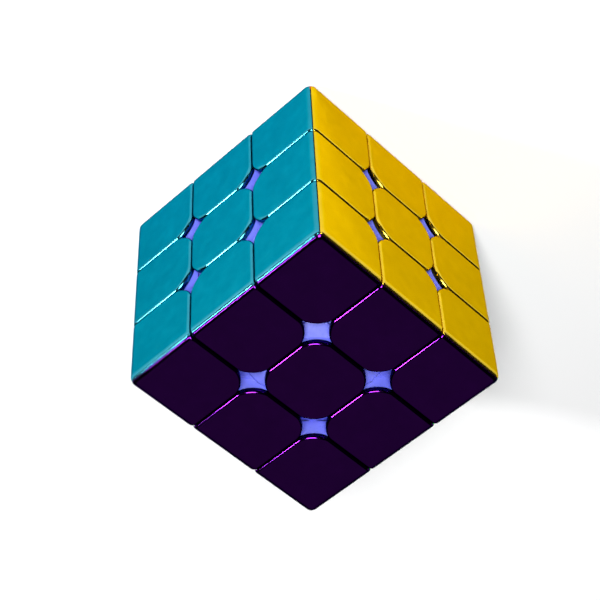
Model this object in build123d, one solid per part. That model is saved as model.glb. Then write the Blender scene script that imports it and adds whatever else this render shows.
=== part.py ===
from build123d import *
import math
import os

# Three-layer twisty puzzle cube: plated tiles on hollow frames, hung on a six-armed core.
#
# Millimetres, +Z up, origin at the centre of the cube.
# Faces are named u = +Z, d = -Z, f = -Y, b = +Y, r = +X and l = -X.
#
# Neighbouring layers meet only on planes square to an axis and on spheres about the centre,
# so any layer can turn. From the outside in, the cubies are split by three planes:
#   outside the flange sphere            at seam_plane, which shows as the seams of the tiles
#   from there to the foot sphere        at flange_plane, the wide flanges
#   from there to the core sphere        at foot_plane, the narrow feet
# A corner's foot is trapped under the edges and an edge's foot under the centres, and six
# sprung screws hold the centres to the core.

# overall
cube_size = 57.0             # outside of the cube
layers = 3

# tiles
tile_thickness = 1.4
tile_rim_round = 0.65        # rounding of a tile along its seams
cube_edge_round = 1.9        # rounding of the cube's outer edges
mitre_gap = 0.16             # between two tiles of one cubie
opening_reach = 4.2          # from where four tiles meet, along a seam, to the star opening's tip
opening_arc = 11.0           # radius of each side of the star opening
opening_blend = 1.5          # rounding where that side runs into the seam
opening_setback = 0.9        # how much further back the frame stands than the plated rim

# boundaries between layers
seam_gap = 0.3               # between neighbouring cubies
opening_depth = 4.16         # from the face down to the flange sphere, where four tiles meet
flange_overhang = 1.5        # how far the flanges reach past the seams
foot_plane = 6.0
foot_neck = 2.95             # height of the neck that joins a corner's foot to its flange
foot_depth = 10.0            # between the foot sphere and the core sphere

# hollow frames
frame_wall = 1.2
window_lip = 1.0             # ledge left around each window behind a tile

# core
core_ball = 8.0              # radius of the ball
core_arm = 3.7               # radius of each arm

# tension screw
screw_shank = 1.2            # radius
screw_tip = 4.0              # from the centre of the cube
screw_bottom_gap = 0.3       # below the tip
thread_gap = 0.04            # around the shank in the core's arm
head_radius = 2.3
head_height = 1.6
socket_radius = 1.25         # to the corners of the hexagonal socket
socket_depth = 0.9

# spring and washer on the screw
stack_gap = 0.1              # between loose parts stacked on the screw
head_clearance = 2.55        # between the screw's head and the cap's plug
spring_wire = 0.28           # radius
spring_mean = 2.1            # radius of the coil's centre line
spring_turns = 5
washer_radius = 2.9
washer_height = 0.5

# bore of a centre
bore_floor = 1.5             # what the spring presses on
bore_clearance = 0.5         # around the washer
shank_clearance = 0.35       # around the screw
cap_plug_length = 2.0
cap_plug_gap = 0.05          # around the cap's plug

# worked out from the values above
half = cube_size / 2
pitch = cube_size / layers
seam_plane = pitch / 2
gap = seam_gap / 2
frame_half = half - tile_thickness
flange_plane = seam_plane + flange_overhang
flange_sphere = math.hypot(half - opening_depth, seam_plane, seam_plane)
foot_sphere = math.hypot(flange_plane, flange_plane, flange_plane) + foot_neck
core_sphere = foot_sphere - foot_depth
bore_radius = washer_radius + bore_clearance
plug_start = frame_half - cap_plug_length
head_start = plug_start - head_clearance - head_height
washer_start = head_start - stack_gap - washer_height
spring_start = core_sphere + gap + bore_floor + stack_gap
spring_length = washer_start - stack_gap - spring_start
edge_axis = Axis((0, 0, 0), (0, -1, 1))
corner_axis = Axis((0, 0, 0), (1, -1, 1))
BASE = (Align.CENTER, Align.CENTER, Align.MIN)


def slot(column, row, plane):
    """Block of one cubie of the top layer, bounded by a layer plane at this distance."""
    sizes = []
    middle = []
    for place in (column, row, 1):
        low = plane + gap if place else gap - plane
        high = frame_half if place else plane - gap
        sizes.append(high - low)
        middle.append((high + low) / 2 * (place or 1))
    return Pos(*middle) * Box(*sizes)


def tile_outline(column, row, setback=0.0):
    """Outline of the top face's tile at this column and row, about the tile's own middle.

    A corner that touches no outer edge of the cube is cut by a wide arc for a star opening.
    """
    start = seam_plane - opening_reach - setback
    corners = []
    for sx, sy in ((1, 1), (-1, 1), (-1, -1), (1, -1)):
        side_x = sx * (seam_plane if sx == column else seam_plane - gap)
        side_y = sy * (seam_plane if sy == row else seam_plane - gap)
        ends = [(side_x, sy * start), (sx * start, side_y)]
        if sx == column or sy == row:
            ends = [(side_x, side_y)]
        corners.append(ends if sx == sy else ends[::-1])
    edges = []
    for here, following in zip(corners, corners[1:] + corners[:1]):
        if len(here) == 2:
            edges.append(RadiusArc(here[0], here[1], -opening_arc))
        edges.append(Line(here[-1], following[0]))
    outline = make_face(edges)
    cut_ends = [v for v in outline.vertices() if abs(min(abs(v.X), abs(v.Y)) - start) < 0.001]
    return fillet(cut_ends, opening_blend)


def tile_prism(column, row, low, high, setback=0.0):
    """The tile's outline in its place in the top face, as a prism from low to high."""
    outline = tile_outline(column, row, setback)
    return extrude(Pos(column * pitch, row * pitch, low) * outline, high - low)


def turned(solid, axis, count):
    """Copies of a solid, spread evenly about an axis through the centre of the cube."""
    return [solid.rotate(axis, 360 * step / count) for step in range(count)]


def on_outside(face):
    """True for a face that lies on the outside of the rounded cube."""
    point = face.position_at(0.5, 0.5)
    past_flat = [max(abs(value) - half + cube_edge_round, 0) for value in point]
    return abs(math.hypot(*past_flat) - cube_edge_round) < 0.01


def tile_skin(column, row, axis, count):
    """All the tiles of one cubie in one piece, with a rounded rim along the seams."""
    slab = tile_prism(column, row, frame_half, half)
    skin = slab
    for copy in turned(slab, axis, count)[1:]:
        skin = skin + copy
    cube = Box(cube_size, cube_size, cube_size)
    skin = skin & fillet(cube.edges(), cube_edge_round)
    uses = {}
    for face in filter(on_outside, skin.faces()):
        for edge in face.edges():
            uses.setdefault(edge, []).append(face)
    rim = [edge for edge, faces in uses.items() if len(faces) == 1]
    return fillet(rim, tile_rim_round)


def mitred(skin, *directions):
    """The top tile of a skin, cut free of its neighbours by mitre planes through the centre."""
    for direction in directions:
        normal = Vector(*direction).normalized()
        skin = split(skin, bisect_by=Plane(origin=normal * mitre_gap / 2, z_dir=normal), keep=Keep.TOP)
    return skin.solid()


def centre_cap():
    """Tile with four cut corners, and the plug that holds it in the centre's bore."""
    plug = Cylinder(bore_radius - cap_plug_gap, cap_plug_length + tile_thickness / 2, align=BASE)
    return tile_skin(0, 0, Axis.Z, 1) + Pos(0, 0, plug_start) * plug


def edge_tiles():
    """The two tiles of an edge, in place u-f."""
    top = mitred(tile_skin(0, -1, edge_axis, 2), (0, 1, 1))
    return Compound(children=turned(top, edge_axis, 2))


def corner_tiles():
    """The three tiles of a corner, in place u-r-f."""
    top = mitred(tile_skin(1, -1, corner_axis, 3), (0, 1, 1), (-1, 0, 1))
    return Compound(children=turned(top, corner_axis, 3))


def frame(column, row, axis, count):
    """Solid frame of one cubie: block behind the tiles, flange and foot, all in one piece."""
    seam = slot(column, row, seam_plane)
    flange = slot(column, row, flange_plane)
    foot = slot(column, row, foot_plane)
    body = seam - Sphere(flange_sphere + gap)
    body = body + ((seam & flange) - Sphere(foot_sphere + gap))
    body = body + ((flange & Sphere(flange_sphere - gap)) - Sphere(foot_sphere + gap))
    body = body + ((flange & foot) - Sphere(core_sphere + gap))
    body = body + ((foot & Sphere(foot_sphere - gap)) - Sphere(core_sphere + gap))
    well = seam - tile_prism(column, row, 0, half, opening_setback) - Sphere(flange_sphere - gap)
    for copy in turned(well, axis, count):
        body = body - copy
    return body


def hollow(column, row, axis, count):
    """Hollow of an edge's or a corner's frame, with a window behind each tile."""
    thick = 2 * frame_wall
    low = flange_plane + gap + thick
    high = frame_half - frame_wall
    across = seam_plane - gap - thick
    spans = [(low, high) if place else (-across, across) for place in (column, row, 1)]
    signs = [place or 1 for place in (column, row, 1)]
    sizes = [end - start for start, end in spans]
    middle = [sign * (start + end) / 2 for sign, (start, end) in zip(signs, spans)]
    room = Pos(*middle) * Box(*sizes) - Sphere(foot_sphere + gap + frame_wall)
    window = Box(sizes[0] - 2 * window_lip, sizes[1] - 2 * window_lip, frame_half, align=BASE)
    window = Pos(middle[0], middle[1], high - window_lip) * window
    for copy in turned(window, axis, count):
        room = room + copy
    return room


def centre_base():
    """Frame of a centre, with the bore for the screw and its spring, in place u."""
    bore = Pos(0, 0, core_sphere + gap + bore_floor) * Cylinder(bore_radius, half, align=BASE)
    shank = Cylinder(screw_shank + shank_clearance, half, align=BASE)
    return frame(0, 0, Axis.Z, 1) - bore - shank


def edge_foot():
    """Frame of an edge, in place u-f."""
    return frame(0, -1, edge_axis, 2) - hollow(0, -1, edge_axis, 2)


def corner_foot():
    """Frame of a corner, in place u-r-f."""
    return frame(1, -1, corner_axis, 3) - hollow(1, -1, corner_axis, 3)


def screw():
    """Tension screw with a hexagonal socket, in place u."""
    head_top = head_start + head_height
    shank = Pos(0, 0, screw_tip) * Cylinder(screw_shank, head_start - screw_tip, align=BASE)
    head = Pos(0, 0, head_start) * Cylinder(head_radius, head_height, align=BASE)
    socket = Pos(0, 0, head_top - socket_depth) * extrude(RegularPolygon(socket_radius, 6), head_height)
    return shank + head - socket


def spring():
    """Compression spring round the screw, in place u."""
    climb = spring_length - 2 * spring_wire
    path = Helix(climb / spring_turns, climb, spring_mean)
    section = Plane(path @ 0, z_dir=path % 0) * Circle(spring_wire)
    return Pos(0, 0, spring_start + spring_wire) * sweep(section, path, is_frenet=True)


def washer():
    """Washer between the spring and the screw's head, in place u."""
    ring = Cylinder(washer_radius, washer_height, align=BASE)
    ring = ring - Cylinder(screw_shank + thread_gap, washer_height, align=BASE)
    return Pos(0, 0, washer_start) * ring


def core():
    """Ball with six arms; each arm is bored for its screw."""
    arm_length = math.sqrt((core_sphere - gap)**2 - core_arm**2)
    body = Sphere(core_ball)
    for across in (Rot(), Rot(X=90), Rot(Y=90)):
        body = body + across * Cylinder(core_arm, 2 * arm_length)
    bore = Pos(0, 0, screw_tip - screw_bottom_gap) * Cylinder(screw_shank + thread_gap, half, align=BASE)
    for place in face_places:
        body = body - place * bore
    return body


def places(*starts):
    """Four quarter turns about Z of each starting rotation."""
    return [Rot(Z=90 * quarter) * start for start in starts for quarter in range(4)]


def slot_name(place, direction):
    """Letters of the faces that a cubie touches, from the direction its place turns it to."""
    x, y, z = (place * Pos(*direction)).position
    letters = "u" * (z > 0.5) + "d" * (z < -0.5)
    letters += "r" * (x > 0.5) + "l" * (x < -0.5)
    return letters + "f" * (y < -0.5) + "b" * (y > 0.5)


def write(name, shape):
    """Write one named sub-part."""
    shape.label = name
    export_step(shape, os.path.join("parts", name + ".step"))


os.makedirs("parts", exist_ok=True)
face_places = [Rot(), Rot(X=180)] + places(Rot(X=90))
edge_places = places(Rot(), Rot(X=180), Rot(Y=90))
corner_places = places(Rot(), Rot(X=180))

write("core_spider", core())
for name, make in (("tension_screws", screw), ("tension_springs", spring), ("spring_washers", washer)):
    one = make()
    write(name, Compound(children=[place * one for place in face_places]))

for kind, inner, outer, where, direction in (
    ("centre", ("base", centre_base()), ("cap", centre_cap()), face_places, (0, 0, 1)),
    ("edge", ("foot", edge_foot()), ("tiles", edge_tiles()), edge_places, (0, -1, 1)),
    ("corner", ("foot", corner_foot()), ("tiles", corner_tiles()), corner_places, (1, -1, 1)),
):
    for place in where:
        for piece, shape in (inner, outer):
            write(f"{kind}_{slot_name(place, direction)}_{piece}", place * shape)
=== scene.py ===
# %% [markdown]
# # A plated three-layer puzzle cube
# The cube is a mechanical toy: twenty-six small blocks, called cubies, hang on a core with six arms.
# This lesson loads the engineering model as a fixed frame and then makes what the eye sees: the
# mirror-plated tiles, the lilac plastic behind them, the metal of the screws, and a plain studio.
# Every number that belongs to the object is measured on the frame, so nothing has to be fitted later.

# %% Load the frame
import bpy
import bmesh
import math
from mathutils import Matrix, Vector


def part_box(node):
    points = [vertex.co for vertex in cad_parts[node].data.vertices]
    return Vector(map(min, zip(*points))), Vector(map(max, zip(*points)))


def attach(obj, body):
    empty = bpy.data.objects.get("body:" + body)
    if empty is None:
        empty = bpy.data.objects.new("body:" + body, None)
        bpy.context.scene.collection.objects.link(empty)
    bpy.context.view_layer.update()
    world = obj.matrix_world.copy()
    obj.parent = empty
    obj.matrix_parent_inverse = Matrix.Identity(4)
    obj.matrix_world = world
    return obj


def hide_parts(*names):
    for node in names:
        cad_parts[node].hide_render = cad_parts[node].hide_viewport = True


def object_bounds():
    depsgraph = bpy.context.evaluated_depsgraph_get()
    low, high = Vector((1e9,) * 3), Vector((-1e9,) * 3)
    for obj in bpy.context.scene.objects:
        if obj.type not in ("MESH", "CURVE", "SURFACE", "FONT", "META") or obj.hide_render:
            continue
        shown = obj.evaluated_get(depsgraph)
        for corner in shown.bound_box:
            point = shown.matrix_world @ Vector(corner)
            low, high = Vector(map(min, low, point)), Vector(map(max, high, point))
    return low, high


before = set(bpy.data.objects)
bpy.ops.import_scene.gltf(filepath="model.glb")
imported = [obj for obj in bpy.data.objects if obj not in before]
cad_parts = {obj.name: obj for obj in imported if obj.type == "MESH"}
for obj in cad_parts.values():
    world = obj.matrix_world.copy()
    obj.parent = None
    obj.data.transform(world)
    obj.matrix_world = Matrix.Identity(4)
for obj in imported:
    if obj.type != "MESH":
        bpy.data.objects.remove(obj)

MM = 0.001
cad_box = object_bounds()

# %% [markdown]
# ## Measure the cube
# The blocks' own boxes give all the sizes. The centre cap gives a tile's free half-width and the
# cube's half-size, the edge block beside it gives where the next layer starts, and the corner's
# frame ends where the tile's back is.

# %% Sizes in millimetres, read from the frame
cap_low, cap_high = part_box("centre_u_cap")
edge_low, edge_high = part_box("edge_uf_tiles")
frame_low, frame_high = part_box("corner_urf_foot")
half = cap_high.z / MM
tile_side = cap_high.x / MM
seam_plane = (tile_side - edge_high.y / MM) / 2
pitch = 2 * seam_plane
tile_thickness = half - frame_high.z / MM
print("cube", 2 * half, "pitch", pitch, "tile", 2 * tile_side, "thick", round(tile_thickness, 3))

# %% [markdown]
# A tile's own details are choices of the maker, so they are named here once: how its rim is rounded,
# how round the cube's outer edges are, and how far the star-shaped openings reach along the seams.
# Bevel's profile sets the shape of a cut corner: 0.5 is a quarter circle and 0.25 a straight cut,
# and the real corner lies between them.

# %% Details of a tile
rim_round = 0.65
rim_steps = 5
edge_round = 1.9
edge_steps = 6
mitre_half = 0.16
mitre_round = 0.14
star_reach = 4.75
star_profile = 0.425
star_steps = 14
plug_steps = 48
plug_lead = 0.2
print("rim", rim_round, "outer edge", edge_round, "star reach", star_reach)

# %% [markdown]
# ## Colours
# Colours are picked as sRGB hex values, as on a screen, but Blender's shaders want linear light.
# One function does the change, so each colour below can be compared with a swatch.


# %% Hex to linear
def linear(code):
    """Linear RGBA of an sRGB hex colour such as '#a0b1c2'."""
    channels = [int(code[start:start + 2], 16) / 255 for start in (1, 3, 5)]
    return [c / 12.92 if c <= 0.04045 else ((c + 0.055) / 1.055) ** 2.4 for c in channels] + [1.0]


print("mid grey is", [round(c, 3) for c in linear("#808080")])


# %% [markdown]
# ## One helper for nodes
# A shader is a graph of nodes. Adding a node, setting its values and wiring it up are always the
# same three steps, so one function does them for every kind of node.


# %% Add a node
def add(tree, kind, inputs=None, **settings):
    """Adds a node, sets its properties, and fills or links its inputs by name or number."""
    node = tree.nodes.new(kind)
    for name, value in settings.items():
        setattr(node, name, value)
    for name, value in (inputs or {}).items():
        if isinstance(value, bpy.types.NodeSocket):
            tree.links.new(value, node.inputs[name])
        else:
            node.inputs[name].default_value = value
    return node


def new_material(name):
    """An empty material with its output node."""
    material = bpy.data.materials.new(name)
    material.use_nodes = True
    material.node_tree.nodes.clear()
    return material, material.node_tree


def per_mm(size):
    """Scale of a texture whose pattern repeats about every size millimetres."""
    return 1 / (size * MM)


# %% [markdown]
# ## Plated tiles
# The tiles are ABS plastic, plated with bright metal under a tinted lacquer, which is why each one is
# a coloured mirror. A flat mirror would look like computer glass, though. Real plating over moulded
# plastic has three faults at three sizes: a slow waviness some 9 mm across from the way the plastic
# shrinks, an orange-peel skin about 1 mm across in the lacquer, and faint hazy patches left by
# polishing. The first two go into bump, the third into roughness and a slight change of tint. The
# tint also deepens where the lacquer is thick. Bare metal goes white at a grazing angle, but light that
# crosses tinted lacquer is coloured at every angle, so the specular tint is the lacquer's own colour.
# Metals keep the default IOR.


# %% Material: lacquered plating
def plated(name, base, deep, haze):
    """Mirror plating under a tinted lacquer, with its waviness, orange peel and hazy patches."""
    material, tree = new_material(name)
    place = add(tree, "ShaderNodeTexCoord").outputs["Object"]
    cloud = add(tree, "ShaderNodeTexNoise", {"Vector": place, "Scale": per_mm(7.0), "Detail": 3.0})
    patch = add(tree, "ShaderNodeTexNoise", {"Vector": place, "Scale": per_mm(2.6), "Detail": 4.0})
    mottle = add(tree, "ShaderNodeMath", {0: cloud.outputs["Fac"], 1: patch.outputs["Fac"]},
                 operation="MULTIPLY")
    tint = add(tree, "ShaderNodeValToRGB", {"Fac": mottle.outputs[0]})
    tint.color_ramp.elements[0].position = 0.13
    tint.color_ramp.elements[0].color = linear(deep)
    tint.color_ramp.elements[1].position = 0.40
    tint.color_ramp.elements[1].color = linear(base)
    rough = add(tree, "ShaderNodeMapRange", {"Value": patch.outputs["Fac"], "From Min": 0.3, "From Max": 0.7,
                                             "To Min": haze * 0.7, "To Max": haze * 1.3})
    wave = add(tree, "ShaderNodeTexNoise", {"Vector": place, "Scale": per_mm(9.0), "Detail": 1.0})
    peel = add(tree, "ShaderNodeTexNoise", {"Vector": place, "Scale": per_mm(1.1), "Detail": 2.0})
    wavy = add(tree, "ShaderNodeBump", {"Height": wave.outputs["Fac"], "Strength": 0.25,
                                        "Distance": 0.06 * MM})
    peeled = add(tree, "ShaderNodeBump", {"Height": peel.outputs["Fac"], "Strength": 0.10,
                                          "Distance": 0.008 * MM, "Normal": wavy.outputs["Normal"]})
    skin = add(tree, "ShaderNodeBsdfPrincipled", {
        "Base Color": tint.outputs["Color"], "Metallic": 1.0, "Roughness": rough.outputs["Result"],
        "Specular Tint": linear(base), "Normal": peeled.outputs["Normal"]})
    add(tree, "ShaderNodeOutputMaterial", {"Surface": skin.outputs["BSDF"]})
    return material


# %% [markdown]
# Each face has one colour, as base tint, the deeper tint of thick lacquer, and how hazy it is.

# %% The six colours
face_plating = {
    "r": ("plated_teal", "#3990a2", "#358698", 0.15),
    "f": ("plated_gold", "#d8b939", "#ceaf35", 0.15),
    "u": ("plated_purple", "#4c126f", "#471168", 0.10),
    "d": ("plated_red", "#c8102e", "#be0f2b", 0.13),
    "b": ("plated_silver", "#c4c8cd", "#bcc0c6", 0.12),
    "l": ("plated_green", "#23983a", "#209136", 0.13),
}
plating = {face: plated(*values) for face, values in face_plating.items()}
print("plated finishes", [m.name for m in plating.values()])


# %% [markdown]
# ## Lilac frames
# The blocks behind the tiles are ABS moulded in lilac and left unplated. Moulded ABS is glossy but
# soft-edged: light goes a little way in, so a little subsurface scattering takes the hardness off.
# The mould's polish shows as very fine, low bumps about 0.5 mm apart, and the colour drifts slightly
# where the melt flowed.


# %% Material: moulded ABS
def moulded(name, base, flow, roughness, depth=0.0):
    """Glossy moulded plastic with a slight drift of colour and the texture of a polished mould."""
    material, tree = new_material(name)
    place = add(tree, "ShaderNodeTexCoord").outputs["Object"]
    drift = add(tree, "ShaderNodeTexNoise", {"Vector": place, "Scale": per_mm(6.0), "Detail": 2.0})
    colour = add(tree, "ShaderNodeValToRGB", {"Fac": drift.outputs["Fac"]})
    colour.color_ramp.elements[0].position = 0.35
    colour.color_ramp.elements[0].color = linear(flow)
    colour.color_ramp.elements[1].position = 0.65
    colour.color_ramp.elements[1].color = linear(base)
    grain = add(tree, "ShaderNodeTexNoise", {"Vector": place, "Scale": per_mm(0.5), "Detail": 3.0})
    polish = add(tree, "ShaderNodeMapRange", {"Value": grain.outputs["Fac"], "From Min": 0.3, "From Max": 0.7,
                                              "To Min": roughness * 0.8, "To Max": roughness * 1.2})
    bump = add(tree, "ShaderNodeBump", {"Height": grain.outputs["Fac"], "Strength": 0.15,
                                        "Distance": 0.01 * MM})
    body = add(tree, "ShaderNodeBsdfPrincipled", {
        "Base Color": colour.outputs["Color"], "Roughness": polish.outputs["Result"], "IOR": 1.54,
        "Subsurface Weight": depth, "Subsurface Radius": (1.0, 1.0, 1.0), "Subsurface Scale": 0.8 * MM,
        "Normal": bump.outputs["Normal"]})
    add(tree, "ShaderNodeOutputMaterial", {"Surface": body.outputs["BSDF"]})
    return material


lilac = moulded("lilac_abs", "#8088ee", "#757de3", 0.32, depth=0.15)
core_abs = moulded("core_abs", "#c9cdd6", "#bfc4ce", 0.38)
print("plastics", lilac.name, core_abs.name)


# %% [markdown]
# ## Screws, washers and springs
# The screws and washers are zinc-plated steel, turned on a lathe, so their faces carry fine rings.
# The springs are drawn wire: fine lines along it, which are far too small to see, so a short noise
# in the roughness stands for them.


# %% Material: turned and drawn steel
def steel(name, base, dark, streak):
    """Bright steel whose roughness and tint vary in streaks of the given size."""
    material, tree = new_material(name)
    place = add(tree, "ShaderNodeTexCoord").outputs["Object"]
    lines = add(tree, "ShaderNodeTexNoise", {"Vector": place, "Scale": per_mm(streak), "Detail": 6.0,
                                             "Roughness": 0.7})
    colour = add(tree, "ShaderNodeValToRGB", {"Fac": lines.outputs["Fac"]})
    colour.color_ramp.elements[0].position = 0.3
    colour.color_ramp.elements[0].color = linear(dark)
    colour.color_ramp.elements[1].position = 0.7
    colour.color_ramp.elements[1].color = linear(base)
    rough = add(tree, "ShaderNodeMapRange", {"Value": lines.outputs["Fac"], "To Min": 0.2, "To Max": 0.45})
    bump = add(tree, "ShaderNodeBump", {"Height": lines.outputs["Fac"], "Strength": 0.2,
                                        "Distance": 0.01 * MM})
    body = add(tree, "ShaderNodeBsdfPrincipled", {
        "Base Color": colour.outputs["Color"], "Metallic": 1.0, "Roughness": rough.outputs["Result"],
        "Normal": bump.outputs["Normal"]})
    add(tree, "ShaderNodeOutputMaterial", {"Surface": body.outputs["BSDF"]})
    return material


zinc = steel("zinc_plated_steel", "#d9dcdf", "#aeb3b8", 0.4)
wire = steel("drawn_spring_steel", "#b9bcc0", "#85898e", 0.25)
print("metals", zinc.name, wire.name)


# %% [markdown]
# ## Shape of one tile
# A tile could be cut from a block with booleans, but those leave stray vertices and long thin
# triangles, and a mirror shows every one of them. So each tile starts as a plain box and is shaped
# by operators that keep clean rings of faces:
#
# 1. stretch a cube to the slab,
# 2. bevel the upright edges where four tiles meet, which makes the star opening,
# 3. slice the slab where it will bend over the cube's outer edge,
# 4. bevel the rim,
# 5. wrap the slab over the rounded cube.
#
# The wrap is the only formula. It treats the slab as a sheet laid on a rounded box: a point over the
# flat part stays, and a point past it is carried round an arc. Two neighbours then meet in a mitre of
# 45 degrees, and three meet at a corner, without being told to.


# %% Steps 1 and 2: the slab and its cut corners
def side_at(place, sign):
    """Where a tile's side lies: on the mitre at the cube's outer edge, or on a seam."""
    if sign * place > 0:
        return place * (half - mitre_half)
    return place * pitch + sign * tile_side


def slab(column, row):
    """Flat tile of the top face at a column and row of -1, 0 or 1, in millimetres."""
    bm = bmesh.new()
    bmesh.ops.create_cube(bm, size=2)
    for vert in bm.verts:
        vert.co.x = side_at(column, vert.co.x)
        vert.co.y = side_at(row, vert.co.y)
        vert.co.z = half if vert.co.z > 0 else half - tile_thickness
    cut = []
    for edge in bm.edges:
        low, high = (vert.co for vert in edge.verts)
        upright = abs(low.z - high.z) > tile_thickness / 2
        outer_x = column * low.x > seam_plane + pitch / 2
        outer_y = row * low.y > seam_plane + pitch / 2
        if upright and not outer_x and not outer_y:
            cut.append(edge)
    bmesh.ops.bevel(bm, geom=cut, offset=star_reach, offset_type="OFFSET", segments=star_steps,
                    profile=star_profile, affect="EDGES", material=-1)
    return bm


# %% Step 3: slices where the slab bends
def slice_for_bend(bm, column, row):
    """Cuts the slab across at even steps of the arc that it will be carried round."""
    flat = half - edge_round
    for axis, side in ((Vector((1, 0, 0)), column), (Vector((0, 1, 0)), row)):
        for step in range(edge_steps if side else 0):
            reach = flat + edge_round * math.tan(math.radians(45 * step / edge_steps))
            everything = bm.verts[:] + bm.edges[:] + bm.faces[:]
            bmesh.ops.bisect_plane(bm, geom=everything, dist=1e-5, plane_co=axis * side * reach,
                                   plane_no=axis)


# %% Step 4: the rim
def top_rim(bm, column, row, mitred):
    """Edges between the top and a wall: those along the mitres, or all the others."""
    chosen = []
    for edge in bm.edges:
        faces = edge.link_faces
        tops = [face for face in faces if face.normal.z > 0.9]
        walls = [face for face in faces if abs(face.normal.z) < 0.1]
        if len(tops) != 1 or len(walls) != 1:
            continue
        middle = (edge.verts[0].co + edge.verts[1].co) / 2
        on_mitre = max(column * middle.x, row * middle.y) > half - mitre_half - 1e-4
        if on_mitre == mitred:
            chosen.append(edge)
    return chosen


def round_rim(bm, column, row):
    """Rounds the seam side of the rim well and the mitre side only slightly."""
    bm.normal_update()
    bmesh.ops.bevel(bm, geom=top_rim(bm, column, row, False), offset=rim_round, offset_type="OFFSET",
                    segments=rim_steps, profile=0.5, affect="EDGES", material=-1)
    bm.normal_update()
    bmesh.ops.bevel(bm, geom=top_rim(bm, column, row, True), offset=mitre_round, offset_type="OFFSET",
                    segments=2, profile=0.5, affect="EDGES", material=-1)


# %% Step 5: wrap it over the rounded cube
def wrap(bm):
    """Carries the slab over the rounded edges of the cube."""
    flat = half - edge_round
    for vert in bm.verts:
        depth = half - vert.co.z
        surface = Vector((vert.co.x, vert.co.y, half))
        inner = Vector([max(-flat, min(flat, value)) for value in surface])
        vert.co = inner + (surface - inner).normalized() * (edge_round - depth)


def shape_tile(column, row):
    """All five steps, as a bmesh in millimetres in the top face."""
    bm = slab(column, row)
    slice_for_bend(bm, column, row)
    round_rim(bm, column, row)
    wrap(bm)
    return bm


# %% [markdown]
# ## The plug of a centre cap
# A centre cap comes off so that the screw under it can be set, and a round plug on its back holds it
# in the bore. Its radius and depth are read from the frame's own cap.


# %% Add the plug
def add_plug(bm):
    """Round plug on the back of the cap, with a small lead-in at its tip."""
    tip = cap_low.z / MM
    rim = [v.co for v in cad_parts["centre_u_cap"].data.vertices if v.co.z / MM < tip + 0.01]
    radius = max(math.hypot(co.x, co.y) for co in rim) / MM
    height = half - tile_thickness - tip
    made = bmesh.ops.create_cone(bm, cap_ends=True, segments=plug_steps, radius1=radius, radius2=radius,
                                 depth=height, matrix=Matrix.Translation((0, 0, tip + height / 2)))
    lead = {edge for vert in made["verts"] for edge in vert.link_edges
            if all(v.co.z < tip + 0.01 for v in edge.verts)}
    bmesh.ops.bevel(bm, geom=list(lead), offset=plug_lead, offset_type="OFFSET", segments=2, profile=0.5,
                    affect="EDGES", material=-1)


# %% [markdown]
# ## Fifty-four tiles
# Only three shapes exist: centre, edge and corner. Each is turned to its place with quarter turns,
# first about the face's own axis and then from the top face to its own. The place is put into the
# mesh and the object stays at the origin, so that patterns on object coordinates sit still on the
# tile. Weighted normals keep the flats flat and let only the rim and bends look round.

# %% Place the tiles
to_face = {
    "u": Matrix(),
    "d": Matrix.Rotation(math.pi, 4, "X"),
    "f": Matrix.Rotation(math.pi / 2, 4, "X"),
    "b": Matrix.Rotation(-math.pi / 2, 4, "X"),
    "r": Matrix.Rotation(math.pi / 2, 4, "Y"),
    "l": Matrix.Rotation(-math.pi / 2, 4, "Y"),
}


def cubie_letters(place):
    """Letters of the faces that a cubie touches, from the middle of one of its tiles."""
    letters = ""
    for value, high, low in ((place.z, "u", "d"), (place.x, "r", "l"), (place.y, "b", "f")):
        if abs(value) > seam_plane:
            letters += high if value > 0 else low
    return letters


def finish_mesh(name, bm, material):
    """Turns a bmesh in millimetres into a smooth object at the origin."""
    bmesh.ops.scale(bm, verts=bm.verts, vec=(MM, MM, MM))
    for face in bm.faces:
        face.smooth = True
    mesh = bpy.data.meshes.new(name)
    bm.to_mesh(mesh)
    bm.free()
    mesh.materials.append(material)
    piece = bpy.data.objects.new(name, mesh)
    bpy.context.scene.collection.objects.link(piece)
    flats = piece.modifiers.new("keep flats flat", "WEIGHTED_NORMAL")
    flats.weight = 80
    return piece


kinds = {1: ("centre", 0, 0, "cap"), 2: ("edge", 0, -1, "tiles"), 3: ("corner", 1, -1, "tiles")}
tiles = []
for face, turn_to_face in to_face.items():
    for count, (kind, column, row, node_end) in kinds.items():
        for quarter in range(1 if kind == "centre" else 4):
            turn = turn_to_face @ Matrix.Rotation(quarter * math.pi / 2, 4, "Z")
            letters = cubie_letters(turn @ Vector((column * pitch, row * pitch, half)))
            bm = shape_tile(column, row)
            if kind == "centre":
                add_plug(bm)
            bmesh.ops.transform(bm, matrix=turn, verts=bm.verts)
            piece = finish_mesh(f"{kind}_{letters}_tile_{face}", bm, plating[face])
            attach(piece, f"face_{letters}" if kind == "centre" else f"{kind}_{letters}")
            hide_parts(f"{kind}_{letters}_{node_end}")
            tiles.append(piece)
print("tiles", len(tiles), "vertices in a corner tile", len(tiles[-1].data.vertices))

# %% [markdown]
# ## Frames and the mechanism
# The moulded frames, the core, the screws and the springs come from the frame as they are: their
# shapes are right, so they only get their finish.

# %% Finish the nodes that stay
node_finish = {"core_spider": core_abs, "tension_screws": zinc, "spring_washers": zinc,
               "tension_springs": wire}
for name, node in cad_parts.items():
    if name.endswith(("_foot", "_base")):
        node_finish[name] = lilac
for name, material in node_finish.items():
    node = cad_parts[name]
    node.data.materials.clear()
    node.data.materials.append(material)
print("nodes with a new finish", len(node_finish))

# %% [markdown]
# ## Studio
# Mirrors show the room, so the room is designed as much as the cube. The two upright faces in view
# mirror the floor close to the cube, so the floor has to be pale and evenly lit. The top face mirrors
# the dark behind the cube, so a large dim panel there lifts it from black to a deep purple. The rims
# turn a little further, and one small bright light on the teal side gives them their thin lines.


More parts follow.
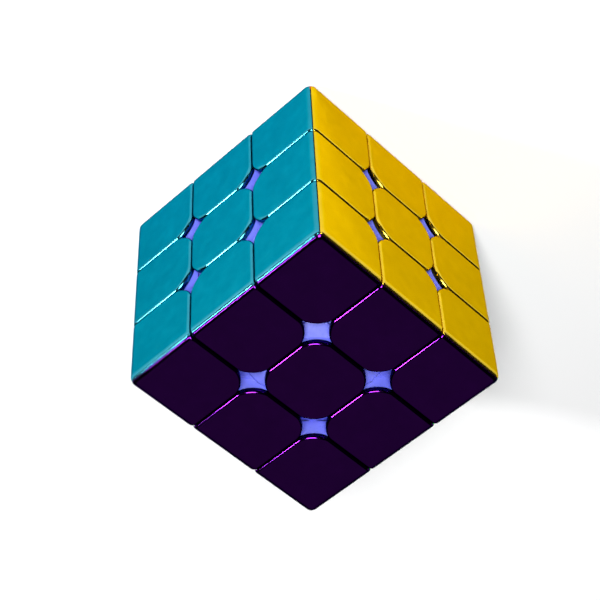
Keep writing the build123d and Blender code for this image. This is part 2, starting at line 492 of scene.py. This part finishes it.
# %% Floor and world
def pale_floor():
    """A wide matt floor under the cube, with the faint unevenness of painted board."""
    bm = bmesh.new()
    bmesh.ops.create_grid(bm, x_segments=1, y_segments=1, size=4.0,
                          matrix=Matrix.Translation((0, 0, cad_box[0].z)))
    mesh = bpy.data.meshes.new("studio_floor")
    bm.to_mesh(mesh)
    bm.free()
    material, tree = new_material("painted_board")
    place = add(tree, "ShaderNodeTexCoord").outputs["Object"]
    patch = add(tree, "ShaderNodeTexNoise", {"Vector": place, "Scale": per_mm(60.0), "Detail": 2.0})
    shade = add(tree, "ShaderNodeValToRGB", {"Fac": patch.outputs["Fac"]})
    shade.color_ramp.elements[0].color = linear("#f2f2f3")
    shade.color_ramp.elements[1].color = linear("#f8f8f8")
    board = add(tree, "ShaderNodeBsdfPrincipled", {"Base Color": shade.outputs["Color"], "Roughness": 0.9,
                                                   "Specular IOR Level": 0.1})
    add(tree, "ShaderNodeOutputMaterial", {"Surface": board.outputs["BSDF"]})
    mesh.materials.append(material)
    floor = bpy.data.objects.new("studio_floor", mesh)
    bpy.context.scene.collection.objects.link(floor)


pale_floor()
world = bpy.data.worlds.new("dim studio")
world.use_nodes = True
world.node_tree.nodes["Background"].inputs["Color"].default_value = linear("#202024")
world.node_tree.nodes["Background"].inputs["Strength"].default_value = 0.35
bpy.context.scene.world = world
bpy.context.scene.view_settings.view_transform = "Standard"
print("floor at", round(cad_box[0].z / MM, 2), "mm")


# %% Lights
def softbox(name, direction, distance, size, power, colour="#ffffff"):
    """A square area light that looks at the cube from a direction."""
    data = bpy.data.lights.new(name, "AREA")
    data.shape = "SQUARE"
    data.size = size
    data.energy = power
    data.color = linear(colour)[:3]
    lamp = bpy.data.objects.new(name, data)
    lamp.location = Vector(direction).normalized() * distance
    lamp.rotation_mode = "QUATERNION"
    lamp.rotation_quaternion = (-lamp.location).to_track_quat("-Z", "Y")
    bpy.context.scene.collection.objects.link(lamp)
    return lamp


softbox("key", (0.78, 0.41, 0.47), 0.9, 0.13, 6.4)
softbox("top", (0.50, -0.40, 0.78), 1.4, 0.6, 27)
softbox("dim panel", (-0.47, 0.41, 0.78), 1.2, 1.5, 1.2)

# %% [markdown]
# ## Camera
# The camera looks steeply down on the corner where teal, gold and purple meet. It is rolled half
# round, so the corner that rests furthest from the lens ends up at the top of the picture.

# %% Camera
azimuth = math.radians(48.28)
elevation = math.radians(51.35)
roll = math.radians(-177.11)
distance = 424.5 * MM
aim = Vector((1.63, 1.80, -0.02)) * MM
back = Vector((math.sin(azimuth) * math.cos(elevation), -math.cos(azimuth) * math.cos(elevation),
               math.sin(elevation)))
camera_data = bpy.data.cameras.new("camera")
camera_data.lens = 112.8
camera_data.sensor_width = 36
camera = bpy.data.objects.new("camera", camera_data)
camera.location = aim + back * distance
camera.rotation_mode = "QUATERNION"
camera.rotation_quaternion = (-back).to_track_quat("-Z", "Y") @ Matrix.Rotation(-roll, 4, "Z").to_quaternion()
bpy.context.scene.collection.objects.link(camera)
bpy.context.scene.camera = camera
print("camera", [round(value, 4) for value in camera.location])
